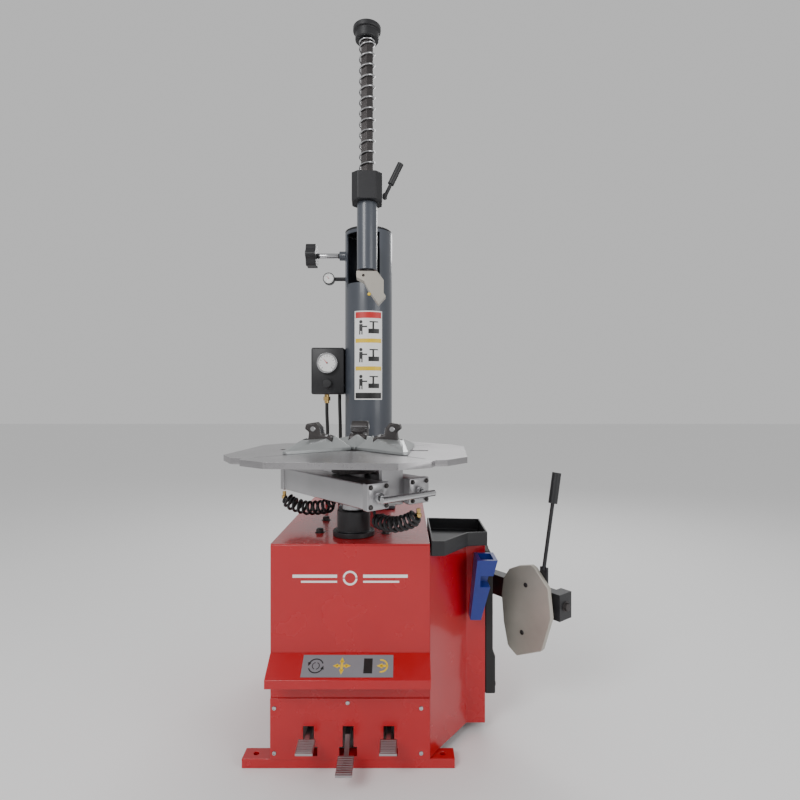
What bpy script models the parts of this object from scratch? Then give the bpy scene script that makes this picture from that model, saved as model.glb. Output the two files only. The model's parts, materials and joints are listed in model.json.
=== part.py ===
"""Swing-arm tire changer: cabinet, turntable with jaws, column with swing arm, and bead breaker.

Lengths are in millimetres and become metres as each mesh is made. The design frame has its origin
on the floor under the turntable's axis, with +X right, +Y to the rear and +Z up. The empty
machine_origin then moves the whole machine so that its bounding box is centred on the origin.
Every moving body hangs on an empty that stands on its joint's axis.
"""

import math

import bmesh
import bpy
from mathutils import Matrix, Vector

MM = 0.001
GAP = 0.3
WELD = 0.01

# Shift that puts the bounding box's bottom centre on the origin
CENTRE_X = 152.95
CENTRE_Y = 126.98

# Cabinet
FACE_Y = -102.0
BACK_Y = 575.0
HALF_WIDTH = 208.0
RAIL_HEIGHT = 25.0
RAIL_DEPTH = 45.0
RAIL_ENDS = (-283.0, 273.0)
BODY_LOW = RAIL_HEIGHT + GAP
BODY_TOP = 585.0
SHEET = 3.0
PEDAL_COVER_TOP = 184.0
HOOD_TOP = 302.0
HOOD_REACH = 64.0
HOOD_EDGE = (240.0, 262.0)
WING_TOP = 552.0
WING_FRONT = 55.0
WING_BACK = 190.0
WING_RIGHT = 375.0
WING_OUTLINE = [
    (HALF_WIDTH + GAP, FACE_Y), (236.0, -60.0), (321.0, WING_FRONT),
    (WING_RIGHT, WING_FRONT), (WING_RIGHT, WING_BACK), (HALF_WIDTH + GAP, WING_BACK),
]
WING_INSIDE = [
    (190.0, -90.0), (HALF_WIDTH, -96.0), (233.0, -58.0), (319.5, WING_FRONT + SHEET),
    (WING_RIGHT - SHEET, WING_FRONT + SHEET), (WING_RIGHT - SHEET, WING_BACK - SHEET),
    (190.0, WING_BACK - SHEET),
]
TRAY_OUTLINE = [
    (212.0, -100.0), (247.0, -100.0), (318.0, -5.0), (374.0, 4.0), (374.0, 172.0), (212.0, 188.0),
]
TRAY_INSIDE = [
    (217.0, -95.0), (244.5, -95.0), (315.5, 0.5), (369.0, 8.3), (369.0, 167.5), (217.0, 182.5),
]
TRAY_LOW = WING_TOP + GAP
TRAY_TOP = 591.0

# Pedals
PEDALS = {"pedal_left": -108.0, "pedal_middle": -5.0, "pedal_right": 101.0}
PEDAL_PIVOT_Y = 60.0
PEDAL_PIVOT_Z = 92.0
PEDAL_SHAFT_RADIUS = 9.0
SLOT_LOW = 34.0
SLOT_STEP = 58.0
SLOT_TOP = 112.0

# Drive under the turntable
NECK_RADIUS = 46.0
NECK_TOP = 655.0
NECK_COLLAR_RADIUS = 58.0
SHAFT_BORE = 22.0
DRIVE_SHAFT_RADIUS = 21.0
GEARBOX = (95.0, 390.0, 560.0)
MOTOR_RADIUS = 66.0

# Turntable
TABLE_TURN = math.radians(-4.5)
TABLE_TOP = 820.0
TABLE_THICK = 15.0
DISC_LOW = 760.0
DISC_RADIUS = 62.0
DISTRIBUTOR_RADIUS = 33.0
CENTRE_HOLE_RADIUS = 30.0
JOINT_SLOT = ((75.0, -2.5), (296.0, -2.5), (296.0, 2.5), (75.0, 2.5))
LOBE_TIP = (310.0, 153.0)
LOBE_CORNER = (262.0, 225.0)
LOBE_NOTCH = 232.0
JAW_TRAVEL = 95.0
JAW_ANGLES = {"right": 0.0, "rear": 90.0, "left": 180.0}
ROOF_HEIGHT = 40.0
TONGUE = (70.0, 110.0)
TONGUE_HALF = 11.0
CLAMP_HALF = 25.0
CYLINDER_OFFSET = 67.0
CYLINDER_HALF = 32.0
CYLINDER_LOW = 693.0
CYLINDER_TOP = 757.0
CYLINDER_ENDS = (-240.0, 200.0)
ROD_Z = 722.0
SPIRAL_RADIUS = 22.0
SPIRAL_ROUTES = {
    "left": [(-64, 42, 660), (-110, 70, 644), (-160, 90, 638), (-205, 100, 648), (-230, 104, 667)],
    "right": [(66, -42, 638), (94, -72, 634), (130, -104, 638), (165, -122, 652), (188, -129, 668)],
}
ROD_END = 236.0
ROD_RADIUS = 7.0

# Column and swing arm
COLUMN_X = 12.0
COLUMN_Y = 436.0
COLUMN_RADIUS = 84.0
COLUMN_WALL = 6.0
FLANGE_HALF = 97.0
FLANGE_THICK = 12.0
POST_RADIUS = 34.0
HEAD_LOW = 1342.0
WINDOW_LOW = 1368.0
WINDOW_TOP = 1543.0
HEAD_TOP = 1555.0
WINDOW_ANGLES = (-60.0, 30.0)
ARM_TURN = math.radians(3.28)
ARM_LENGTH = 436.7
ARM_HALF_WIDTH = 25.0
ARM_LOW = 1392.0
ARM_HIGH = 1494.0
SLEEVE_LOW = 1322.0
SLEEVE_TOP = 1508.0
SLEEVE_RADIUS = 28.0
HOUSING_TOP = 1585.0
HOUSING_HALF = 42.0
HOUSING_CORNER = 25.0
LOCK_LEVER_Z = 1530.0
SHAFT_CLEARANCE = 1.5
SHAFT_RADIUS = 19.0
SPRING_RADIUS = 23.0
SPRING_TOP = 1962.0
CAP_TOP = 2000.0
CAP_RADIUS = 33.0
CAP_FLANGE = (39.0, 1986.0)
KNOB_Z = 1478.0
KNOB_STEM_RADIUS = 9.0
GAUGE_BOX_HALF = 36.0
GAUGE_BOX_LOW = 980.0
GAUGE_BOX_TOP = 1146.0
GAUGE_BOX_WIDTH = 117.0
DIAL_Z = 1090.0
FITTING_LOW = 949.0
LINE_GAUGE_X = -142.0
LINE_GAUGE_Z = 1395.0
HOSE_RADIUS = 6.0
HEAD_BLOCK_TOP = 1316.0
TOOL_PROFILE = [
    (-29.0, HEAD_BLOCK_TOP), (28.0, HEAD_BLOCK_TOP), (46.0, 1292.0), (46.0, 1256.0), (52.0, 1247.0),
    (32.0, 1225.0), (5.0, 1263.0), (-8.0, 1288.0), (-29.0, 1299.0),
]

# Bead breaker
PIN_X = 405.0
PIN_Y = 296.0
PIN_RADIUS = 12.0
BREAKER_TURN = math.radians(38.4)
ARM_Z = 366.0
ARM_HALF = 32.0
ARM_WIDTH = 40.0
BREAKER_LENGTH = 308.0
BLADE_DISTANCE = 220.0
BLADE_SIDE = -55.0
BLADE_HALF_THICK = 7.0
BREAKER_ROD_Y = 225.0
BREAKER_ROD_RADIUS = 12.0
BREAKER_ROD_END = 420.0
BREAKER_CYLINDER_RADIUS = 62.0
BRACKET = (298.0, 434.0)
BLADE_PROFILE = [
    (86.0, 362.0), (78.0, 415.0), (56.0, 448.0), (20.0, 466.0), (-27.0, 479.0), (-40.0, 474.0),
    (-87.0, 426.0), (-97.0, 344.0), (-66.0, 246.0), (-59.0, 238.0), (27.0, 195.0), (56.0, 211.0),
    (62.0, 217.0), (78.0, 282.0),
]

parts = bpy.data.collections.new("tire_changer")
cutters = bpy.data.collections.new("cutters")
finishes = {}


def clear_scene():
    """Removes what the scene holds and links the two collections."""
    for old in list(bpy.data.objects):
        bpy.data.objects.remove(old, do_unlink=True)
    bpy.context.scene.collection.children.link(parts)
    bpy.context.scene.collection.children.link(cutters)


def finish(name, color, roughness, metallic):
    """Makes a Principled material and keeps it under its name."""
    made = bpy.data.materials.new(name)
    made.use_nodes = True
    shader = made.node_tree.nodes["Principled BSDF"]
    shader.inputs["Base Color"].default_value = (*color, 1.0)
    shader.inputs["Roughness"].default_value = roughness
    shader.inputs["Metallic"].default_value = metallic
    finishes[name] = made


def make_finishes():
    finish("red_paint", (0.55, 0.02, 0.02), 0.3, 0.0)
    finish("column_paint", (0.05, 0.08, 0.12), 0.35, 0.0)
    finish("black_plastic", (0.015, 0.015, 0.017), 0.45, 0.0)
    finish("rubber", (0.012, 0.012, 0.012), 0.75, 0.0)
    finish("table_steel", (0.55, 0.55, 0.55), 0.3, 1.0)
    finish("cover_grey", (0.62, 0.63, 0.64), 0.45, 0.3)
    finish("cast_steel", (0.07, 0.07, 0.075), 0.5, 0.8)
    finish("aluminium", (0.65, 0.66, 0.67), 0.35, 1.0)
    finish("chrome", (0.8, 0.8, 0.8), 0.12, 1.0)
    finish("blade_steel", (0.55, 0.52, 0.46), 0.45, 0.8)
    finish("blue_plastic", (0.02, 0.16, 0.5), 0.4, 0.0)
    finish("brass", (0.7, 0.5, 0.2), 0.3, 1.0)


def empty(name, place, parent=None, turn=0.0):
    """An empty at a place in millimetres, turned about Z."""
    made = bpy.data.objects.new(name, None)
    made.location = Vector(place) * MM
    made.rotation_euler = (0.0, 0.0, turn)
    made.parent = parent
    parts.objects.link(made)
    return made


def shaped(form):
    """Turns a bmesh in millimetres into a closed mesh in metres."""
    bmesh.ops.scale(form, vec=(MM, MM, MM), verts=form.verts)
    bmesh.ops.recalc_face_normals(form, faces=form.faces)
    mesh = bpy.data.meshes.new("shape")
    form.to_mesh(mesh)
    form.free()
    mesh.shade_smooth()
    mesh.set_sharp_from_angle(angle=math.radians(35.0))
    return mesh


def box(low, high):
    """A box between two corners."""
    form = bmesh.new()
    bmesh.ops.create_cube(form, size=1.0)
    low = Vector(low)
    high = Vector(high)
    bmesh.ops.scale(form, vec=high - low, verts=form.verts)
    bmesh.ops.translate(form, vec=(low + high) / 2, verts=form.verts)
    return shaped(form)


def along(axis):
    """The rotation that lays +Z along an axis."""
    return Vector((0.0, 0.0, 1.0)).rotation_difference(Vector(axis)).to_matrix()


def rod(start, end, radius, sides=24, end_radius=None):
    """A cylinder, cone or prism from one point to another."""
    start = Vector(start)
    end = Vector(end)
    form = bmesh.new()
    bmesh.ops.create_cone(
        form, cap_ends=True, segments=sides, radius1=radius,
        radius2=radius if end_radius is None else end_radius, depth=(end - start).length,
    )
    bmesh.ops.rotate(form, cent=(0.0, 0.0, 0.0), matrix=along(end - start), verts=form.verts)
    bmesh.ops.translate(form, vec=(start + end) / 2, verts=form.verts)
    return shaped(form)


def realised(curve, place=None):
    """A curve's evaluated mesh, welded, after which the curve is removed."""
    holder = bpy.data.objects.new("guide", curve)
    bpy.context.scene.collection.objects.link(holder)
    graph = bpy.context.evaluated_depsgraph_get()
    made = bpy.data.meshes.new_from_object(holder.evaluated_get(graph))
    bpy.data.objects.remove(holder, do_unlink=True)
    form = bmesh.new()
    form.from_mesh(made)
    bmesh.ops.remove_doubles(form, verts=form.verts, dist=WELD)
    if place is not None:
        bmesh.ops.transform(form, matrix=place, verts=form.verts)
    return shaped(form)


def plate(outline, low, high, axis="Z"):
    """A flat outline given thickness along an axis: (x, y) for Z, (y, z) for X, (x, z) for Y."""
    curve = bpy.data.curves.new("outline", "CURVE")
    curve.dimensions = "2D"
    curve.fill_mode = "BOTH"
    curve.extrude = (high - low) / 2
    spline = curve.splines.new("POLY")
    spline.points.add(len(outline) - 1)
    for point, (first, second) in zip(spline.points, outline):
        point.co = (first, second, 0.0, 1.0)
    spline.use_cyclic_u = True
    turns = {
        "Z": Matrix.Identity(3),
        "X": Matrix(((0, 0, 1), (1, 0, 0), (0, 1, 0))),
        "Y": Matrix(((1, 0, 0), (0, 0, -1), (0, 1, 0))),
    }
    middle = (low + high) / 2
    shift = {"Z": (0, 0, middle), "X": (middle, 0, 0), "Y": (0, middle, 0)}
    return realised(curve, Matrix.Translation(shift[axis]) @ turns[axis].to_4x4())


def hose(points, radius, per_span=3):
    """A tube on a smooth curve through points, sampled as a polyline."""
    line = [Vector(point) for point in points]
    ends = [line[0] * 2 - line[1], *line, line[-1] * 2 - line[-2]]
    smooth = []
    for a, b, c, d in zip(ends, ends[1:], ends[2:], ends[3:]):
        for step in range(per_span):
            t = step / per_span
            smooth.append(
                (b * 2 + (c - a) * t + (a * 2 - b * 5 + c * 4 - d) * t**2
                 + (b * 3 - a - c * 3 + d) * t**3) / 2
            )
    smooth.append(line[-1])
    curve = bpy.data.curves.new("hose", "CURVE")
    curve.dimensions = "3D"
    curve.bevel_depth = radius
    curve.bevel_resolution = 2
    curve.use_fill_caps = True
    spline = curve.splines.new("POLY")
    spline.points.add(len(smooth) - 1)
    for point, place in zip(spline.points, smooth):
        point.co = (*place, 1.0)
    return realised(curve)


def hull(points):
    """The solid spanned by points."""
    form = bmesh.new()
    for point in points:
        form.verts.new(point)
    bmesh.ops.convex_hull(form, input=form.verts)
    return shaped(form)


def helper(mesh, parent):
    """A hidden object that a Boolean joins or cuts with."""
    made = bpy.data.objects.new("cutter", mesh)
    made.parent = parent
    made.hide_render = True
    made.display_type = "WIRE"
    cutters.objects.link(made)
    return made


def piece(name, look, parent, shapes, cuts=(), bevel=0.0):
    """One sub-part: the first shape, joined with the others, then cut, with its edges rounded."""
    mesh = shapes[0]
    mesh.name = name
    mesh.materials.append(finishes[look])
    made = bpy.data.objects.new(name, mesh)
    made.parent = parent
    parts.objects.link(made)
    jobs = [("UNION", shape) for shape in shapes[1:]] + [("DIFFERENCE", shape) for shape in cuts]
    for operation, shape in jobs:
        job = made.modifiers.new(operation.lower(), "BOOLEAN")
        job.operation = operation
        job.object = helper(shape, parent)
    if bevel:
        rounding = made.modifiers.new("rounding", "BEVEL")
        rounding.width = bevel * MM
        rounding.segments = 2
        rounding.limit_method = "ANGLE"
        rounding.angle_limit = math.radians(50.0)
    return made


def make_base(machine):
    """Two floor rails with anchor holes."""
    for name, low_y in (("base_rail_front", FACE_Y), ("base_rail_rear", BACK_Y - RAIL_DEPTH)):
        middle = low_y + RAIL_DEPTH / 2
        bar = box((RAIL_ENDS[0], low_y, 0.0), (RAIL_ENDS[1], low_y + RAIL_DEPTH, RAIL_HEIGHT))
        holes = [rod((x, middle, -9), (x, middle, RAIL_HEIGHT + 9), 7.0, 16) for x in (-250, 242)]
        piece(name, "red_paint", machine, [bar], holes)


def make_cabinet(machine):
    """Separate sheets round the drive, open below."""
    top = BODY_TOP - SHEET - GAP
    inner = HALF_WIDTH - SHEET - GAP
    front_low = PEDAL_COVER_TOP - 12.0
    piece("front_panel", "red_paint", machine, [
        box((-HALF_WIDTH, FACE_Y, front_low), (HALF_WIDTH, FACE_Y + SHEET, top)),
    ])
    piece("rear_panel", "red_paint", machine, [
        box((-HALF_WIDTH, BACK_Y - SHEET, BODY_LOW), (HALF_WIDTH, BACK_Y, top)),
    ])
    low_y = FACE_Y + SHEET + GAP
    high_y = BACK_Y - SHEET - GAP
    piece("left_side_panel", "red_paint", machine, [
        box((-HALF_WIDTH, low_y, BODY_LOW), (-HALF_WIDTH + SHEET, high_y, top)),
    ])
    rod_hole = rod((inner - 20, BREAKER_ROD_Y, ARM_Z), (inner + 20, BREAKER_ROD_Y, ARM_Z), 18.0)
    piece("right_side_panel", "red_paint", machine, [
        box((HALF_WIDTH - SHEET, low_y, BODY_LOW), (HALF_WIDTH, high_y, top)),
    ], [rod_hole])
    piece("cabinet_top", "red_paint", machine, [
        box((-HALF_WIDTH, FACE_Y, BODY_TOP - SHEET), (HALF_WIDTH, BACK_Y, BODY_TOP)),
    ], [rod((0, 0, 570), (0, 0, 600), 40.0, 32)])


def make_pedal_cover(machine):
    """The screwed cover with three stepped slots for the pedals."""
    face = FACE_Y - GAP
    slots = []
    for x in PEDALS.values():
        outline = [
            (x - 23, SLOT_LOW), (x + 23, SLOT_LOW), (x + 23, SLOT_STEP), (x + 14, SLOT_STEP),
            (x + 14, SLOT_TOP), (x - 14, SLOT_TOP), (x - 14, SLOT_STEP), (x - 23, SLOT_STEP),
        ]
        slots.append(plate(outline, face - 9, face + 9, "Y"))
    sheet = box((-HALF_WIDTH, face - SHEET, BODY_LOW), (HALF_WIDTH, face, PEDAL_COVER_TOP))
    piece("pedal_cover", "red_paint", machine, [sheet], slots)


def make_hood(machine):
    """The bent hood over the pedals."""
    face = FACE_Y - GAP
    edge = FACE_Y - HOOD_REACH
    low, high = HOOD_EDGE
    profile = [
        (face, HOOD_TOP), (edge, high), (edge, low), (edge + SHEET, low),
        (edge + SHEET, high - 2.0), (face, HOOD_TOP - 4.0),
    ]
    piece("pedal_hood", "red_paint", machine, [plate(profile, -HALF_WIDTH, HALF_WIDTH, "X")])


def make_wing(machine):
    """The tire rest: a shell on the right side, its tray, its rubber pad and the blue holder."""
    shell = plate(WING_OUTLINE, BODY_LOW, WING_TOP)
    room = plate(WING_INSIDE, 0.0, WING_TOP - SHEET)
    piece("tire_rest_wing", "red_paint", machine, [shell], [room])
    dish = plate(TRAY_OUTLINE, TRAY_LOW, TRAY_TOP)
    hollow = plate(TRAY_INSIDE, TRAY_LOW + 5.0, TRAY_TOP + 20.0)
    piece("parts_tray", "black_plastic", machine, [dish], [hollow])
    side = WING_RIGHT + GAP
    pad = [
        (side, 520.0), (side, 108.0), (side + 30.0, 108.0), (side + 30.0, 216.0),
        (side + 23.0, 230.0), (side + 23.0, 508.0), (side + 14.0, 520.0),
    ]
    piece("tire_rest_pad", "rubber", machine, [plate(pad, 57.0, 188.0, "Y")])
    top = [(x, y, 519.0) for x in (342.0, 398.0) for y in (-27.0, 54.0)]
    bottom = [(x, y, 340.0) for x in (327.0, 357.0) for y in (12.0, 52.0)]
    tip = [(342.0, 32.0, 334.0)]
    recess = box((352.0, -17.0, 440.0), (388.0, 44.0, 560.0))
    piece("tool_holder", "blue_plastic", machine, [hull(top + bottom + tip)], [recess])


def make_drive(machine):
    """Motor, gearbox and the neck that carries the turntable's shaft."""
    half, low, high = GEARBOX
    bore = rod((0, 0, 470), (0, 0, 700), SHAFT_BORE, 32)
    piece("gearbox", "cast_steel", machine, [
        box((-half, -half + 10, low), (half, half, high)),
    ], [bore], bevel=6.0)
    motor = rod((0, 0, 150), (0, 0, low - GAP), MOTOR_RADIUS, 32)
    terminals = box((-35, -95, 240), (35, -40, 320))
    piece("drive_motor", "column_paint", machine, [motor, terminals])
    collar = rod((0, 0, BODY_TOP + GAP), (0, 0, BODY_TOP + 14), NECK_COLLAR_RADIUS, 32)
    neck = rod((0, 0, BODY_TOP + 2), (0, 0, NECK_TOP), NECK_RADIUS, 32)
    bore = rod((0, 0, 560), (0, 0, 700), SHAFT_BORE, 32)
    piece("turntable_neck", "black_plastic", machine, [neck, collar], [bore])


def make_pedals(machine):
    """The pedal shaft and three pedals that turn on it."""
    shaft = rod(
        (-160, PEDAL_PIVOT_Y, PEDAL_PIVOT_Z), (160, PEDAL_PIVOT_Y, PEDAL_PIVOT_Z),
        PEDAL_SHAFT_RADIUS, 24,
    )
    piece("pedal_shaft", "chrome", machine, [shaft])
    for name, x in PEDALS.items():
        hinge = empty(name + "_hinge", (x, PEDAL_PIVOT_Y, PEDAL_PIVOT_Z), machine)
        face = FACE_Y - PEDAL_PIVOT_Y
        drop = -26.0 if name == "pedal_middle" else 0.0
        reach = 50.0 if name == "pedal_middle" else 25.0
        length = 60.0 if name == "pedal_middle" else 45.0
        side = [
            (8.0, -5.0), (8.0, 5.0), (face - 12, 5.0), (face - reach - 3, drop),
            (face - reach - length, drop - 8), (face - reach - length, drop - 13),
            (face - reach, drop - 8), (face - 10, -5.0),
        ]
        lever = plate(side, -6.0, 6.0, "X")
        eye = rod((-9, 0, 0), (9, 0, 0), PEDAL_SHAFT_RADIUS + 6.0)
        half = 20.5 if name == "pedal_middle" else 22.0
        tread = [
            (face - reach, drop), (face - reach - length, drop - 8),
            (face - reach - length, drop - 14), (face - reach, drop - 6),
        ]
        pad = plate(tread, -half, half, "X")
        bore = rod((-30, 0, 0), (30, 0, 0), PEDAL_SHAFT_RADIUS + GAP)
        piece(name, "aluminium", hinge, [lever, eye, pad], [bore])


def make_turntable(machine):
    """The plate with its lobes and slots, the disc and shaft that drive it, and what hangs below."""
    table = empty("turntable_axis", (0, 0, 0), machine, TABLE_TURN)
    outline = []
    for quarter in range(4):
        turn = Matrix.Rotation(math.radians(90.0 * quarter), 2)
        tip, side = LOBE_TIP
        far, wide = LOBE_CORNER
        for point in ((tip, -side), (tip, side), (far, wide), (LOBE_NOTCH, LOBE_NOTCH), (wide, far)):
            outline.append(tuple(turn @ Vector(point)))
    low = TABLE_TOP - TABLE_THICK
    slots = []
    for quarter in range(4):
        angle = math.radians(45.0 + 90.0 * quarter)
        ray = Matrix.Rotation(angle, 2)
        corners = [tuple(ray @ Vector(c)) for c in JOINT_SLOT]
        slots.append(plate(corners, low - 5, TABLE_TOP + 5))
    for angle in JAW_ANGLES.values():
        ray = Matrix.Rotation(math.radians(angle), 2)
        inner = TONGUE[0] - 3.0
        outer = TONGUE[1] + JAW_TRAVEL + 3.0
        half = TONGUE_HALF + 1.0
        corners = ((inner, -half), (outer, -half), (outer, half), (inner, half))
        slots.append(plate([tuple(ray @ Vector(c)) for c in corners], low - 5, TABLE_TOP + 5))
    centre = rod((0, 0, low - 5), (0, 0, TABLE_TOP + 5), CENTRE_HOLE_RADIUS, 32)
    piece("turntable_plate", "table_steel", table, [plate(outline, low, TABLE_TOP)],
          [*slots, centre])
    disc = rod((0, 0, DISC_LOW), (0, 0, low - GAP), DISC_RADIUS, 32)
    shaft = rod((0, 0, 480), (0, 0, DISC_LOW + 9), DRIVE_SHAFT_RADIUS, 24)
    piece("drive_shaft_disc", "cast_steel", table, [disc, shaft])
    body = rod((0, 0, NECK_TOP + 3), (0, 0, DISC_LOW - 3), DISTRIBUTOR_RADIUS, 32)
    bore = rod((0, 0, NECK_TOP), (0, 0, DISC_LOW), DRIVE_SHAFT_RADIUS + GAP, 32)
    piece("rotary_distributor", "aluminium", table, [body], [bore])
    make_clamp_cylinders(table)
    for name, angle in JAW_ANGLES.items():
        make_jaw(name, empty("jaw_slide_" + name, (0, 0, 0), table, math.radians(angle)))
    for side, route in SPIRAL_ROUTES.items():
        piece("spiral_hose_" + side, "black_plastic", table, [hose(route, SPIRAL_RADIUS)])


def make_clamp_cylinders(table):
    """Two square air cylinders side by side under the plate, their bracket, and the coupled rods."""
    frame = empty("cylinder_axis", (0, 0, 0), table, math.radians(225.0))
    start, end = CYLINDER_ENDS
    half = CYLINDER_HALF
    for name, x in (("clamp_cylinder_front", CYLINDER_OFFSET), ("clamp_cylinder_rear", -CYLINDER_OFFSET)):
        barrel = box((x - half, start, CYLINDER_LOW), (x + half, end, CYLINDER_TOP))
        bore = rod((x, end - 150, ROD_Z), (x, end + 40, ROD_Z), ROD_RADIUS + GAP, 16)
        piece(name, "aluminium", frame, [barrel], [bore], bevel=4.0)
    gap_half = CYLINDER_OFFSET - half - GAP
    piece("cylinder_bracket", "aluminium", frame, [
        box((-gap_half, 158.0, 690.0), (gap_half, 172.0, 798.0)),
    ])
    first, second = [
        rod((x, end - 60, ROD_Z), (x, ROD_END, ROD_Z), ROD_RADIUS, 16)
        for x in (-CYLINDER_OFFSET, CYLINDER_OFFSET)
    ]
    bar = rod((-CYLINDER_OFFSET - 18, ROD_END, ROD_Z), (CYLINDER_OFFSET + 18, ROD_END, ROD_Z), 8.0, 16)
    piece("clamp_rods", "chrome", frame, [bar, first, second])


def make_jaw(name, slide):
    """A hip-roofed cover whose point lies near the centre, with a cast clamp standing in it."""
    floor = TABLE_TOP + GAP
    corners = [(8.0, 0.0), (150.0, 141.0), (150.0, -141.0), (162.0, 134.0), (162.0, -134.0)]
    base = [(x, y, floor) for x, y in corners]
    rim = [(x, y, floor + 8.0) for x, y in corners]
    ridge = [(52.0, 0.0, floor + ROOF_HEIGHT), (140.0, 16.0, floor + 31.0), (140.0, -16.0, floor + 31.0)]
    seat = box((56.0, -CLAMP_HALF - 1, TABLE_TOP - 9), (137.0, CLAMP_HALF + 1, 900.0))
    piece("jaw_cover_" + name, "cover_grey", slide, [hull(base + rim + ridge)], [seat])
    profile = [
        (57.0, floor), (136.0, floor), (136.0, 846.0), (124.0, 852.0), (122.0, 872.0),
        (134.0, 880.0), (130.0, 894.0), (104.0, 898.0), (92.0, 884.0), (88.0, 864.0),
        (62.0, 860.0), (57.0, 852.0),
    ]
    tongue = box((TONGUE[0], -TONGUE_HALF, 796.0), (TONGUE[1], TONGUE_HALF, floor + 10))
    piece("jaw_clamp_" + name, "cast_steel", slide,
          [plate(profile, -CLAMP_HALF, CLAMP_HALF, "Y"), tongue])


def make_column(machine):
    """The round column with a window at its top, its flange, floor, cap and fittings."""
    base = empty("column_axis", (COLUMN_X, COLUMN_Y, 0), machine)
    low = BODY_TOP + FLANGE_THICK + GAP * 2
    inner = COLUMN_RADIUS - COLUMN_WALL
    first, last = WINDOW_ANGLES
    fan = [(0.0, 10.0)]
    for step in range(7):
        angle = math.radians(first + (last - first) * step / 6)
        fan.append((150.0 * math.sin(angle), -150.0 * math.cos(angle)))
    window = plate(fan, WINDOW_LOW, WINDOW_TOP)
    bore = rod((0, 0, low - 9), (0, 0, HEAD_TOP + 9), inner, 48)
    tube = rod((0, 0, low), (0, 0, HEAD_TOP), COLUMN_RADIUS, 48)
    boss = rod((-COLUMN_RADIUS + 9, 0, KNOB_Z), (-COLUMN_RADIUS - 20, 0, KNOB_Z), 16.5, 24)
    knob_hole = rod((-40, 0, KNOB_Z), (-140, 0, KNOB_Z), KNOB_STEM_RADIUS + GAP, 24)
    piece("column", "column_paint", base, [tube, boss], [bore, window, knob_hole])
    half = FLANGE_HALF
    flange = box((-half, -half, BODY_TOP + GAP), (half, half, BODY_TOP + FLANGE_THICK + GAP))
    piece("column_flange", "column_paint", base, [flange], bevel=3.0)
    floor = rod((0, 0, HEAD_LOW - 12), (0, 0, HEAD_LOW), inner - GAP, 48)
    piece("pivot_floor", "cast_steel", base, [floor])
    cap = rod((0, 0, HEAD_TOP + GAP), (0, 0, HEAD_TOP + 8), COLUMN_RADIUS, 48)
    piece("column_cap", "black_plastic", base, [cap], bevel=3.0)
    make_gauges(base)
    make_stop_knob(base)


def make_gauges(base):
    """The inflator box with its dial and filter, the small gauge on its pipe, and the hoses down."""
    left = -COLUMN_RADIUS - GAP
    half = GAUGE_BOX_HALF
    case = box((left - GAUGE_BOX_WIDTH, -half, GAUGE_BOX_LOW), (left, half, GAUGE_BOX_TOP))
    piece("gauge_box", "black_plastic", base, [case], bevel=6.0)
    dial_x = left - 58.0
    rim = rod((dial_x, -half - GAP, DIAL_Z), (dial_x, -half - 18, DIAL_Z), 36.0, 32)
    glass = rod((dial_x, -half - 16, DIAL_Z), (dial_x, -half - 34, DIAL_Z), 31.0, 32)
    piece("gauge_dial", "chrome", base, [rim], [glass])
    neck = rod((left - 66, 0, GAUGE_BOX_LOW - GAP), (left - 66, 0, FITTING_LOW), 9.0, 12)
    nut = rod((left - 66, 0, 972), (left - 66, 0, 958), 13.0, 6)
    piece("hose_fitting", "brass", base, [neck, nut])
    gauge = rod((LINE_GAUGE_X, -14, LINE_GAUGE_Z), (LINE_GAUGE_X, 8, LINE_GAUGE_Z), 21.0, 32)
    pipe = rod((LINE_GAUGE_X, 0, LINE_GAUGE_Z), (left, 0, LINE_GAUGE_Z), 7.0, 16)
    piece("line_gauge", "black_plastic", base, [gauge, pipe])
    hoses = (("air_hose_left", left - 66, FITTING_LOW), ("air_hose_right", left - 20, GAUGE_BOX_LOW))
    for name, x, high in hoses:
        top = high - GAP
        route = [
            (x, 0, top), (x, 1, top - 40), (x + 2, 4, 850), (x + 1, 8, 760), (x - 2, 5, 660),
            (x - 1, 3, 625), (x, 3, BODY_TOP + GAP),
        ]
        piece(name, "rubber", base, [hose(route, HOSE_RADIUS, 4)])


def make_stop_knob(base):
    """The lobed knob on a threaded rod that goes through the column's boss and locks the arm."""
    axis = empty("stop_knob_axis", (0, 0, KNOB_Z), base)
    lobes = []
    for step in range(48):
        angle = math.tau * step / 48
        radius = 40.0 + 4.0 * math.cos(6 * angle)
        lobes.append((radius * math.cos(angle), radius * math.sin(angle)))
    wheel = plate(lobes, -222.0, -186.0, "X")
    stem = rod((-190, 0, 0), (-72, 0, 0), KNOB_STEM_RADIUS, 24)
    piece("stop_knob", "black_plastic", axis, [wheel, stem])


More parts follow.
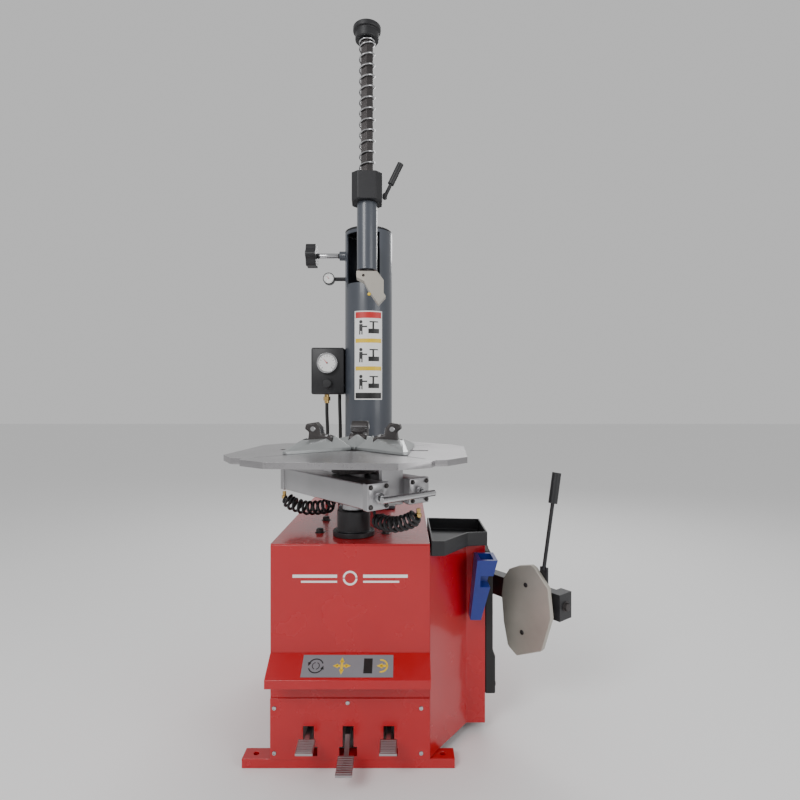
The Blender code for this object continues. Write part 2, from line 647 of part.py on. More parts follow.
def make_swing_arm(machine):
    """The arm from its post in the column to the sleeve, with lock housing, shaft, spring and head."""
    arm = empty("swing_arm_axis", (COLUMN_X, COLUMN_Y, 0), machine, ARM_TURN)
    post = rod((0, 0, HEAD_LOW + GAP), (0, 0, WINDOW_TOP), POST_RADIUS, 32)
    beam = box((-ARM_HALF_WIDTH, -ARM_LENGTH + 10, ARM_LOW), (ARM_HALF_WIDTH, 0, ARM_HIGH))
    tip = (0, -ARM_LENGTH)
    sleeve = rod((*tip, SLEEVE_LOW), (*tip, SLEEVE_TOP), SLEEVE_RADIUS, 32)
    bore = rod((*tip, SLEEVE_LOW - 9), (*tip, SLEEVE_TOP + 9), SHAFT_RADIUS + SHAFT_CLEARANCE, 32)
    piece("swing_arm", "column_paint", arm, [beam, post, sleeve], [bore])
    half = HOUSING_HALF
    outline = []
    for step in range(4):
        turn = Matrix.Rotation(math.radians(90.0 * step), 2)
        for corner in ((half, HOUSING_CORNER), (HOUSING_CORNER, half)):
            outline.append(tuple(turn @ Vector(corner) + Vector(tip)))
    shell = plate(outline, SLEEVE_TOP + 1, HOUSING_TOP)
    bore = rod((*tip, SLEEVE_TOP - 9), (*tip, HOUSING_TOP + 9), SHAFT_RADIUS + SHAFT_CLEARANCE, 32)
    piece("lock_housing", "black_plastic", arm, [shell], [bore])
    coil = rod((*tip, HOUSING_TOP + GAP), (*tip, SPRING_TOP - GAP), SPRING_RADIUS, 24)
    bore = rod((*tip, HOUSING_TOP - 9), (*tip, SPRING_TOP + 9), SHAFT_RADIUS + SHAFT_CLEARANCE, 24)
    piece("return_spring", "cast_steel", arm, [coil], [bore])
    slide = empty("tool_shaft_axis", (0, -ARM_LENGTH, 0), arm)
    piece("tool_shaft", "cast_steel", slide, [
        rod((0, 0, HEAD_BLOCK_TOP + GAP), (0, 0, SPRING_TOP), SHAFT_RADIUS, 6),
    ])
    flange_radius, flange_low = CAP_FLANGE
    piece("shaft_cap", "black_plastic", slide, [
        rod((0, 0, SPRING_TOP + GAP), (0, 0, CAP_TOP - 2), CAP_RADIUS, 32),
        rod((0, 0, flange_low), (0, 0, CAP_TOP), flange_radius, 32),
    ])
    eye = rod((-10, -40, 1304), (-10, 40, 1304), 4.0, 12)
    piece("mount_head", "blade_steel", slide, [plate(TOOL_PROFILE, -20.0, 20.0, "Y")], [eye])
    hinge = empty("lock_lever_axis", (half + 8.0, -ARM_LENGTH, LOCK_LEVER_Z), arm)
    boss = rod((0, -9, 0), (0, 9, 0), 7.0)
    stick = rod((0, 0, 0), (38, 0, 78), 5.0)
    grip = rod((16, 0, 34), (44, 0, 92), 9.0)
    piece("lock_lever", "black_plastic", hinge, [grip, stick, boss])


def make_breaker(machine):
    """The bead breaker: bracket, pin, arm, swivelling blade with its lever, rod and cylinder."""
    low, high = BRACKET
    bracket = box((HALF_WIDTH + GAP, PIN_Y - 38, low), (PIN_X + 26, PIN_Y + 38, high))
    fork = box((340, 200, ARM_Z - ARM_HALF - 1), (PIN_X + 90, 400, ARM_Z + ARM_HALF + 1))
    hole = rod((PIN_X, PIN_Y, 250), (PIN_X, PIN_Y, 500), PIN_RADIUS + GAP)
    piece("breaker_bracket", "red_paint", machine, [bracket], [fork, hole], bevel=4.0)
    shank = rod((PIN_X, PIN_Y, 290), (PIN_X, PIN_Y, 440), PIN_RADIUS)
    head = rod((PIN_X, PIN_Y, high + GAP), (PIN_X, PIN_Y, high + 12), 20.0)
    piece("breaker_pin", "chrome", machine, [shank, head])
    arm = empty("breaker_arm_axis", (PIN_X, PIN_Y, ARM_Z), machine, BREAKER_TURN)
    half = ARM_WIDTH / 2
    eye = rod((0, 0, -ARM_HALF), (0, 0, ARM_HALF), 30.0, 32)
    beam = box((-half, -BREAKER_LENGTH, -ARM_HALF), (half, 0, ARM_HALF))
    block = box((-28, -BREAKER_LENGTH - 14, -38), (28, -BREAKER_LENGTH + 22, 38))
    bore = rod((0, 0, -60), (0, 0, 60), PIN_RADIUS + GAP)
    lug = box((-46.5, -BLADE_DISTANCE - 8, -16), (0, -BLADE_DISTANCE + 8, 16))
    piece("breaker_arm", "black_plastic", arm, [beam, eye, block, lug], [bore])
    swivel = empty("breaker_blade_axis", (BLADE_SIDE, -BLADE_DISTANCE, -ARM_Z), arm)
    thick = BLADE_HALF_THICK
    blade = plate([(y, z) for y, z in BLADE_PROFILE], -thick, thick, "X")
    piece("breaker_blade", "blade_steel", swivel, [blade])
    lever = rod((thick + 2, -60, 470), (thick + 46, -72, 742), 5.5, 16)
    foot = box((thick + GAP, -72, 430), (thick + 8, -48, 478))
    grip = rod((thick + 33, -68.5, 660), (thick + 47, -72.3, 748), 13.0, 20)
    piece("blade_lever", "black_plastic", swivel, [grip, lever, foot])
    barrel = rod((-130, BREAKER_ROD_Y, ARM_Z), (HALF_WIDTH - 8, BREAKER_ROD_Y, ARM_Z),
                 BREAKER_CYLINDER_RADIUS, 32)
    bore = rod((-60, BREAKER_ROD_Y, ARM_Z), (260, BREAKER_ROD_Y, ARM_Z), BREAKER_ROD_RADIUS + GAP)
    piece("breaker_cylinder", "aluminium", machine, [barrel], [bore])
    slide = empty("breaker_rod_axis", (0, BREAKER_ROD_Y, ARM_Z), machine)
    piece("breaker_rod", "chrome", slide, [
        rod((0, 0, 0), (BREAKER_ROD_END, 0, 0), BREAKER_ROD_RADIUS),
    ])


def main():
    clear_scene()
    make_finishes()
    machine = empty("machine_origin", (-CENTRE_X, -CENTRE_Y, 0.0))
    make_base(machine)
    make_cabinet(machine)
    make_pedal_cover(machine)
    make_hood(machine)
    make_wing(machine)
    make_drive(machine)
    make_pedals(machine)
    make_turntable(machine)
    make_column(machine)
    make_swing_arm(machine)
    make_breaker(machine)


main()
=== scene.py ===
"""Looks for the swing-arm tire changer, laid out as an add-on and run as a script.

at() turns the design frame's millimetres (origin on the floor under the turntable) into metres.
"""
import json
import math

import bmesh
import bpy
import numpy as np
from bpy.props import FloatProperty, FloatVectorProperty, IntProperty, PointerProperty
from bpy.types import Operator, Panel, PropertyGroup
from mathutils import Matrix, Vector


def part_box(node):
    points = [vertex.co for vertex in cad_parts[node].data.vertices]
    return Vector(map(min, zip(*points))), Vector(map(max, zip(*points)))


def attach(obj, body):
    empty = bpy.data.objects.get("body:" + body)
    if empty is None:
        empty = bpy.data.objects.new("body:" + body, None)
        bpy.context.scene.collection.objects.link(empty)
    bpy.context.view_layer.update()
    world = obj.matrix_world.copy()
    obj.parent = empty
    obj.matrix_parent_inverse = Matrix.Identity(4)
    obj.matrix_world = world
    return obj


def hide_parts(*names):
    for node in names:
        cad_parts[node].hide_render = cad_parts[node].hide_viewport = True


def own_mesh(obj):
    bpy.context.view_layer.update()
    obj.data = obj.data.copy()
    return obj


bl_info = {
    "name": "Tire changer looks",
    "version": (1, 0, 0),
    "blender": (4, 5, 0),
    "location": "View3D > Sidebar > Tire changer",
    "description": "Finishes and fine pieces of a swing-arm tire changer",
    "category": "Add Mesh",
}

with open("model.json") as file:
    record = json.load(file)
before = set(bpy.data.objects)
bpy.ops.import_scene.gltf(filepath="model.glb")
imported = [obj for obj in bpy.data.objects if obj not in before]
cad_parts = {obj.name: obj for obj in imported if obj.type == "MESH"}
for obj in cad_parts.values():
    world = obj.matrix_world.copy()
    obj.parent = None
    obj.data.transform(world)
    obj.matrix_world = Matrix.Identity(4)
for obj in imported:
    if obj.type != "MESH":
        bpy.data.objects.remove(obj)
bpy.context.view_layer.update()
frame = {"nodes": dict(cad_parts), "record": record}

BODY_OF = {n: body for body, nodes in frame["record"]["behaviour"]["bodies"].items() for n in nodes}
SLOT_OF = {row["node"]: row["material_slot"] for row in frame["record"]["subparts"]}
TABLE_LOW, TABLE_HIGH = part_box("drive_shaft_disc")
# The turntable's axis on the floor, from which the design frame is measured
ORIGIN = np.array([(TABLE_LOW.x + TABLE_HIGH.x) / 2, (TABLE_LOW.y + TABLE_HIGH.y) / 2, 0.0])
# How far the posed bodies are turned about the vertical, in radians
TABLE_TURN = math.radians(-4.5)
ARM_TURN = math.radians(3.28)
BREAKER_TURN = math.radians(38.4)
CYLINDER_TURN = math.radians(225.0)
COLUMN_AXIS = (12.0, 436.0)
COLUMN_RADIUS = 84.0
FLANGE_TOP = 597.3
KNOB_Z = 1478.0
BOX_DIAL_Z = 1090.0
LINE_DIAL_Z = 1395.0
ARM_LENGTH = 436.7
FACE_Y = -102.0
BODY_TOP = 585.0
COVER_THICK = 3.3
BREAKER_PIN = (405.0, 296.0)
BREAKER_Z = 366.0
CYLINDER_OFFSET = 67.0
CYLINDER_Z = 725.0
CYLINDER_ENDS = ((-240.0, -1.0), (200.0, 1.0))
CAP_HALF = 33.5
ROD_Z = 722.0
COIL_RADIUS = 0.0175
HOSE_ROUTES = {
    "left": [(-64, 42, 660), (-110, 70, 644), (-160, 90, 638), (-205, 100, 648), (-230, 104, 667)],
    "right": [(66, -42, 638), (94, -72, 634), (130, -104, 638), (165, -122, 652), (188, -129, 668)],
}
FLOOR_HALF = 20.0
FLOOR_DROP = 0.0005
JAW_ANGLES = {"right": 0.0, "rear": 90.0, "left": 180.0}
# Edge rounding in millimetres where a piece isn't given the common one
EDGES = {
    "turntable_plate": 1.2, "pedal_cover": 0.6, "pedal_hood": 0.8, "front_panel": 1.2,
    "rear_panel": 1.2, "left_side_panel": 1.2, "right_side_panel": 1.2, "cabinet_top": 1.2,
    "column": 0.8, "tire_rest_wing": 1.0, "tool_holder": 6.0, "tire_rest_pad": 4.0,
    "mount_head": 5.0, "breaker_blade": 2.5, "gauge_dial": 0.8, "parts_tray": 2.0,
    "jaw_clamp_left": 4.0, "jaw_clamp_right": 4.0, "jaw_clamp_rear": 4.0,
    "air_hose_left": 0.0, "air_hose_right": 0.0,
    "tool_shaft": 1.0, "shaft_cap": 3.0, "lock_housing": 3.0, "stop_knob": 3.0,
    "lock_lever": 2.5, "blade_lever": 3.0, "breaker_arm": 3.0, "swing_arm": 3.0,
    "drive_motor": 2.0, "pedal_left": 0.8, "pedal_middle": 0.8, "pedal_right": 0.8,
}
COMMON_EDGE = 1.5


class ChangerFinishes(PropertyGroup):
    """The colours that a user would change."""

    cabinet: FloatVectorProperty(
        name="Cabinet", description="Powder coat of the cabinet", subtype="COLOR",
        default=(0.42, 0.0035, 0.008),
    )
    column: FloatVectorProperty(
        name="Column", description="Paint of the column and arm", subtype="COLOR",
        default=(0.058, 0.066, 0.082),
    )
    holder: FloatVectorProperty(
        name="Holder", description="Plastic of the tool holder", subtype="COLOR",
        default=(0.006, 0.022, 0.2),
    )
    plate: FloatVectorProperty(
        name="Turntable", description="Steel of the turntable plate", subtype="COLOR",
        default=(0.4, 0.39, 0.4),
    )


class ChangerSizes(PropertyGroup):
    """The sizes that a user would change."""

    spring_turns: IntProperty(
        name="Spring turns", description="Turns of the return spring", default=12, min=4, max=60,
    )
    spring_wire: FloatProperty(
        name="Spring wire", description="Thickness of the spring's wire", default=0.0042,
        min=0.001, max=0.01, unit="LENGTH",
    )
    hose_turns: IntProperty(
        name="Hose turns", description="Turns of each spiral hose", default=11, min=4, max=60,
    )
    hose_width: FloatProperty(
        name="Hose width", description="Diameter of the spiral hoses' tube", default=0.0085,
        min=0.002, max=0.02, unit="LENGTH",
    )


def at(x, y, z, turn=0.0, pivot=(0.0, 0.0)):
    """World metres of design millimetres, after a turn about the vertical through pivot."""
    x, y, z = (np.asarray(value, float) for value in (x, y, z))
    flat_x = pivot[0] + x * math.cos(turn) - y * math.sin(turn)
    flat_y = pivot[1] + x * math.sin(turn) + y * math.cos(turn)
    return np.stack(np.broadcast_arrays(flat_x, flat_y, z), axis=-1) * 0.001 + ORIGIN


def direction(x, y, z=0.0, turn=0.0):
    """A direction turned about the vertical."""
    return np.array([
        x * math.cos(turn) - y * math.sin(turn), x * math.sin(turn) + y * math.cos(turn), z,
    ])


def node_link(tree, source, output, target, socket):
    """Joins one node's output to another's input."""
    tree.links.new(source.outputs[output], target.inputs[socket])


def surface(name, color, roughness, metallic=0.0, grain=400.0, depth=0.05, stretch=(1, 1, 1),
            mottle=0.08, gloss_change=0.08, coat=0.0):
    """Makes a finish: fine grain as bump, slow changes of colour, and dull and bright patches."""
    made = bpy.data.materials.new("fine_" + name)
    made.use_nodes = True
    tree = made.node_tree
    shader = tree.nodes["Principled BSDF"]
    shader.inputs["Metallic"].default_value = metallic
    shader.inputs["Coat Weight"].default_value = coat
    shader.inputs["Coat Roughness"].default_value = 0.08
    coordinates = tree.nodes.new("ShaderNodeTexCoord")
    mapping = tree.nodes.new("ShaderNodeMapping")
    mapping.inputs["Scale"].default_value = stretch
    node_link(tree, coordinates, "Object", mapping, "Vector")
    fine = tree.nodes.new("ShaderNodeTexNoise")
    fine.inputs["Scale"].default_value = grain
    fine.inputs["Detail"].default_value = 3.0
    node_link(tree, mapping, "Vector", fine, "Vector")
    bump = tree.nodes.new("ShaderNodeBump")
    bump.inputs["Strength"].default_value = depth
    bump.inputs["Distance"].default_value = 0.001
    node_link(tree, fine, "Fac", bump, "Height")
    node_link(tree, bump, "Normal", shader, "Normal")
    slow = tree.nodes.new("ShaderNodeTexNoise")
    slow.inputs["Scale"].default_value = 9.0
    slow.inputs["Detail"].default_value = 5.0
    node_link(tree, coordinates, "Object", slow, "Vector")
    tones = tree.nodes.new("ShaderNodeValToRGB")
    tones.color_ramp.elements[0].position = 0.3
    tones.color_ramp.elements[1].position = 0.7
    tones.color_ramp.elements[0].color = (*[c * (1.0 - mottle) for c in color], 1.0)
    tones.color_ramp.elements[1].color = (*[min(1.0, c * (1.0 + mottle)) for c in color], 1.0)
    node_link(tree, slow, "Fac", tones, "Fac")
    node_link(tree, tones, "Color", shader, "Base Color")
    patch = tree.nodes.new("ShaderNodeMapRange")
    patch.inputs["To Min"].default_value = max(0.03, roughness - gloss_change)
    patch.inputs["To Max"].default_value = roughness + gloss_change
    node_link(tree, fine if metallic else slow, "Fac", patch, "Value")
    node_link(tree, patch, "Result", shader, "Roughness")


def make_finishes(colors):
    """Makes every finish of the machine."""
    surface("red_paint", colors.cabinet, 0.27, grain=260.0, depth=0.06, coat=0.35,
            mottle=0.04, gloss_change=0.02)
    surface("column_paint", colors.column, 0.34, grain=300.0, depth=0.08,
            coat=0.25, mottle=0.05, gloss_change=0.03)
    surface("black_plastic", (0.012, 0.012, 0.014), 0.42, grain=900.0,
            depth=0.25)
    surface("rubber", (0.012, 0.012, 0.012), 0.7, grain=700.0, depth=0.4, mottle=0.2)
    surface("table_steel", colors.plate, 0.3, 1.0, grain=160.0, depth=0.05,
            stretch=(1.0, 14.0, 1.0), mottle=0.1, gloss_change=0.1)
    surface("cover_grey", (0.36, 0.375, 0.375), 0.33, 0.6, grain=350.0, depth=0.15)
    surface("cast_steel", (0.06, 0.055, 0.055), 0.42, 0.75, grain=420.0,
            depth=0.7, mottle=0.3)
    surface("aluminium", (0.42, 0.415, 0.425), 0.34, 1.0, grain=150.0, depth=0.08,
            stretch=(1.0, 1.0, 12.0))
    surface("chrome", (0.5, 0.5, 0.51), 0.18, 1.0, grain=120.0, depth=0.02,
            gloss_change=0.05)
    surface("blade_steel", (0.4, 0.375, 0.33), 0.46, 0.25, grain=240.0,
            depth=0.12, mottle=0.12)
    surface("blue_plastic", colors.holder, 0.32, grain=700.0, depth=0.12,
            coat=0.15)
    surface("brass", (0.62, 0.42, 0.16), 0.26, 1.0, grain=200.0, depth=0.05)
    surface("label_white", (0.8, 0.8, 0.79), 0.4, grain=300.0, mottle=0.02)
    surface("label_black", (0.01, 0.01, 0.01), 0.4, grain=300.0, mottle=0.02)
    surface("label_red", (0.55, 0.02, 0.02), 0.4, grain=300.0, mottle=0.02)
    surface("label_yellow", (0.78, 0.52, 0.02), 0.4, grain=300.0, mottle=0.02)
    surface("sign_grey", (0.2, 0.2, 0.22), 0.45, grain=300.0, mottle=0.03)


def finish_of(name):
    """A finish that the finishes operator has made."""
    return bpy.data.materials["fine_" + name]


def make_object(name, points, faces, finish, body, slot=None):
    """A piece from points in world metres, its normals outwards, riding on a body."""
    mesh = bpy.data.meshes.new(name)
    mesh.from_pydata(np.asarray(points).tolist(), [], faces)
    form = bmesh.new()
    form.from_mesh(mesh)
    bmesh.ops.recalc_face_normals(form, faces=form.faces)
    form.to_mesh(mesh)
    form.free()
    mesh.shade_smooth()
    mesh.set_sharp_from_angle(angle=math.radians(35.0))
    mesh.materials.append(finish_of(finish))
    made = bpy.data.objects.new(name, mesh)
    bpy.context.scene.collection.objects.link(made)
    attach(made, body)
    return made


def grid_faces(rows, columns):
    """Quads of a grid whose columns run round, with an end cap at each end."""
    row, column = np.meshgrid(np.arange(rows - 1), np.arange(columns), indexing="ij")
    after = (column + 1) % columns
    quads = np.stack(
        [row * columns + column, row * columns + after, (row + 1) * columns + after,
         (row + 1) * columns + column], axis=-1,
    ).reshape(-1, 4).tolist()
    quads.append(list(range(columns)))
    quads.append(list(range((rows - 1) * columns, rows * columns)))
    return quads


def swept(path, outward, radius, sides):
    """A round tube: at each path point a circle spanned by outward and its cross product."""
    tangent = np.gradient(path, axis=0)
    tangent /= np.linalg.norm(tangent, axis=1, keepdims=True)
    across = np.cross(tangent, outward)
    across /= np.linalg.norm(across, axis=1, keepdims=True)
    outward = np.cross(across, tangent)
    angle = np.linspace(0.0, math.tau, sides, endpoint=False)[None, :, None]
    ring = outward[:, None] * np.cos(angle) + across[:, None] * np.sin(angle)
    return (path[:, None] + radius * ring).reshape(-1, 3), grid_faces(len(path), sides)


def turned(profile, sides, origin, axis):
    """A turned shape: radius and height pairs in millimetres, carried round an axis from origin."""
    axis = np.asarray(axis, float) / np.linalg.norm(axis)
    first = np.cross(axis, (0.0, 0.0, 1.0) if abs(axis[2]) < 0.9 else (1.0, 0.0, 0.0))
    first /= np.linalg.norm(first)
    second = np.cross(axis, first)
    radius, height = (np.array(profile, float) * 0.001).T
    angle = np.linspace(0.0, math.tau, sides, endpoint=False)[None, :, None]
    ring = first * np.cos(angle) + second * np.sin(angle)
    points = origin + radius[:, None, None] * ring + height[:, None, None] * axis
    return points.reshape(-1, 3), grid_faces(len(profile), sides)


def gathered(shapes):
    """Several shapes as one list of points and one of faces."""
    points, faces, count = [], [], 0
    for some, quads in shapes:
        points.append(some)
        faces += [[index + count for index in face] for face in quads]
        count += len(some)
    return np.concatenate(points), faces


def bolt(origin, axis, size=9.0, height=6.0):
    """A washer and a domed hexagon head."""
    washer = [(size * 1.25, 0.0), (size * 1.25, 1.2), (size * 1.1, 1.6)]
    head = [(size, 1.0), (size, height * 0.8), (size * 0.82, height), (size * 0.3, height * 1.04)]
    return [turned(washer, 24, origin, axis), turned(head, 6, origin, axis)]


def button(origin, axis, size=6.0):
    """A round-headed screw with a hexagon recess."""
    dome = [(size, 0.0), (size, 0.8), (size * 0.85, 2.2), (size * 0.5, 3.0), (size * 0.46, 3.0),
            (size * 0.4, 1.2), (size * 0.05, 1.1)]
    return [turned(dome, 18, origin, axis)]


def prisms(outlines, place, depth=0.5):
    """Flat outlines in millimetres given a little thickness; place maps across, up and out."""
    shapes = []
    for outline in outlines:
        across, up = np.array(outline, float).T
        count = len(outline)
        points = np.concatenate([place(across, up, 0.0), place(across, up, depth)])
        faces = [list(range(count)), list(range(count, 2 * count))]
        faces += [[i, (i + 1) % count, count + (i + 1) % count, count + i] for i in range(count)]
        shapes.append((points, faces))
    return gathered(shapes)


def bar(left, low, right, high):
    """A rectangle."""
    return [(left, low), (right, low), (right, high), (left, high)]


def strips(left, low, right, high, parts):
    """A rectangle as upright strips, so that it lies close on a round surface."""
    edges = np.linspace(left, right, parts + 1)
    return [bar(a, low, b, high) for a, b in zip(edges, edges[1:])]


def disc(across, up, radius, sides=20):
    """A round outline."""
    angle = np.linspace(0.0, math.tau, sides, endpoint=False)
    return list(zip(across + radius * np.cos(angle), up + radius * np.sin(angle)))


def arc_band(across, up, inner, outer, start, end, sides=14):
    """A bent band between two angles in degrees."""
    angle = np.radians(np.linspace(start, end, sides))
    out = list(zip(across + outer * np.cos(angle), up + outer * np.sin(angle)))
    back = list(zip(across + inner * np.cos(angle[::-1]), up + inner * np.sin(angle[::-1])))
    return out + back


def arrow(across, up, size, angle):
    """An arrowhead that points along an angle in degrees."""
    turn = math.radians(angle)
    return [
        (across + size * math.cos(turn + step), up + size * math.sin(turn + step))
        for step in (0.0, math.tau * 0.36, math.tau * 0.64)
    ]


class CHANGER_OT_finishes(Operator):
    """Makes the finishes and gives each sub-part rounded edges, smooth faces and its finish"""

    bl_idname = "changer.finishes"
    bl_label = "Finishes and edges"

    def execute(self, context):
        make_finishes(context.scene.changer_finishes)
        replaced = {"return_spring", "spiral_hose_left", "spiral_hose_right"}
        for node, source in frame["nodes"].items():
            if node not in replaced:
                soften(node, source, EDGES.get(node, COMMON_EDGE))
        return {"FINISHED"}


def soften(node, source, width):
    """A welded copy of a sub-part with its flat faces joined and its edges rounded."""
    form = bmesh.new()
    form.from_mesh(source.data)
    bmesh.ops.remove_doubles(form, verts=form.verts, dist=1e-5)
    bmesh.ops.dissolve_limit(
        form, angle_limit=math.radians(0.5), verts=form.verts, edges=form.edges,
    )
    mesh = bpy.data.meshes.new(node + "_shape")
    form.to_mesh(mesh)
    form.free()
    mesh.materials.clear()
    mesh.materials.append(finish_of(SLOT_OF[node]))
    mesh.shade_smooth()
    mesh.set_sharp_from_angle(angle=math.radians(32.0))
    made = bpy.data.objects.new(node + "_finished", mesh)
    bpy.context.scene.collection.objects.link(made)
    if width:
        rounding = made.modifiers.new("edges", "BEVEL")
        rounding.width = width * 0.001
        rounding.segments = 3
        rounding.limit_method = "ANGLE"
        rounding.angle_limit = math.radians(32.0)
    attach(made, BODY_OF[node])
    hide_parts(node)


class CHANGER_OT_spring(Operator):
    """Winds the return spring: radius constant, height linear, with closed turns at both ends"""

    bl_idname = "changer.spring"
    bl_label = "Return spring"

    def execute(self, context):
        sizes = context.scene.changer_sizes
        low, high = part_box("return_spring")
        centre = np.array([(low.x + high.x) / 2, (low.y + high.y) / 2, 0.0])
        wire = sizes.spring_wire / 2
        radius = (high.x - low.x) / 2 - wire
        t = np.linspace(0.0, 1.0, sizes.spring_turns * 36)
        rise = np.interp(t, (0.0, 0.07, 0.93, 1.0), (0.0, 0.012, 0.988, 1.0))
        angle = t * math.tau * (sizes.spring_turns + 2)
        outward = np.stack([np.cos(angle), np.sin(angle), np.zeros_like(angle)], axis=-1)
        path = centre + outward * radius
        path[:, 2] = low.z + wire + rise * (high.z - low.z - 2 * wire)
        made = make_object("spring_coil", *swept(path, outward, wire, 10), "chrome", "swing_arm",
                           "cast_steel")
        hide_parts("return_spring")
        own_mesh(made)
        return {"FINISHED"}


def spiral(route, turns, width, coil):
    """A helix wound on a smoothed curve: its point plus a turning radius, 0 at both ends."""
    count = turns * 20
    t = np.linspace(0.0, 1.0, count)
    known = np.linspace(0.0, 1.0, len(route))
    middle = np.stack([np.interp(t, known, axis) for axis in np.array(route).T], axis=-1)
    kernel = np.ones(count // 8) / (count // 8)
    padded = np.pad(middle, ((count // 16, count // 8 - count // 16 - 1), (0, 0)), mode="edge")
    middle = np.stack([np.convolve(axis, kernel, mode="valid") for axis in padded.T], axis=-1)
    along = np.gradient(middle, axis=0)
    along /= np.linalg.norm(along, axis=1, keepdims=True)
    first = np.cross(along, (0.0, 0.0, 1.0))
    first /= np.linalg.norm(first, axis=1, keepdims=True)
    second = np.cross(along, first)
    angle = (t * math.tau * turns)[:, None]
    outward = first * np.cos(angle) + second * np.sin(angle)
    size = coil * np.minimum(1.0, np.minimum(t, 1.0 - t) * turns)[:, None]
    return swept(middle + outward * size, outward, width / 2, 8)


def bow(start, bend, end, radius):
    """A tube on the parabola that leaves start towards bend and reaches end from it."""
    t = np.linspace(0.0, 1.0, 16)[:, None]
    path = (1 - t) ** 2 * start + 2 * t * (1 - t) * bend + t**2 * end
    side = np.cross(bend - start, end - bend)
    side /= np.linalg.norm(side)
    return swept(path, np.repeat(side[None], len(path), axis=0), radius, 10)


class CHANGER_OT_hoses(Operator):
    """Winds the spiral air hoses under the turntable and adds their leads and elbows"""

    bl_idname = "changer.hoses"
    bl_label = "Spiral hoses"

    def execute(self, context):
        sizes = context.scene.changer_sizes
        for side, route in HOSE_ROUTES.items():
            x, y, z = np.array(route, float).T
            points = at(x, y, z, TABLE_TURN)
            shape = spiral(points, sizes.hose_turns, sizes.hose_width, COIL_RADIUS)
            made = make_object("spiral_hose_" + side + "_coil", *shape, "black_plastic",
                               "turntable", "black_plastic")
            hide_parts("spiral_hose_" + side)
            start = points[0]
            bend = start + (0.0, 0.0, 0.034)
            end = at(0, 0, 675) + (start - at(0, 0, z[0])) * 0.4
            make_object("hose_lead_" + side, *bow(start, bend, end, sizes.hose_width / 2),
                        "black_plastic", "turntable", "black_plastic")
            elbow = [(7, 0), (8, 2), (8, 9), (5.5, 10), (5.5, 22)]
            foot = points[-1] - (0, 0, 0.004)
            make_object("hose_elbow_" + side, *turned(elbow, 16, foot, (0, 0, 1)), "brass",
                        "turntable", "brass")
        return {"FINISHED"}


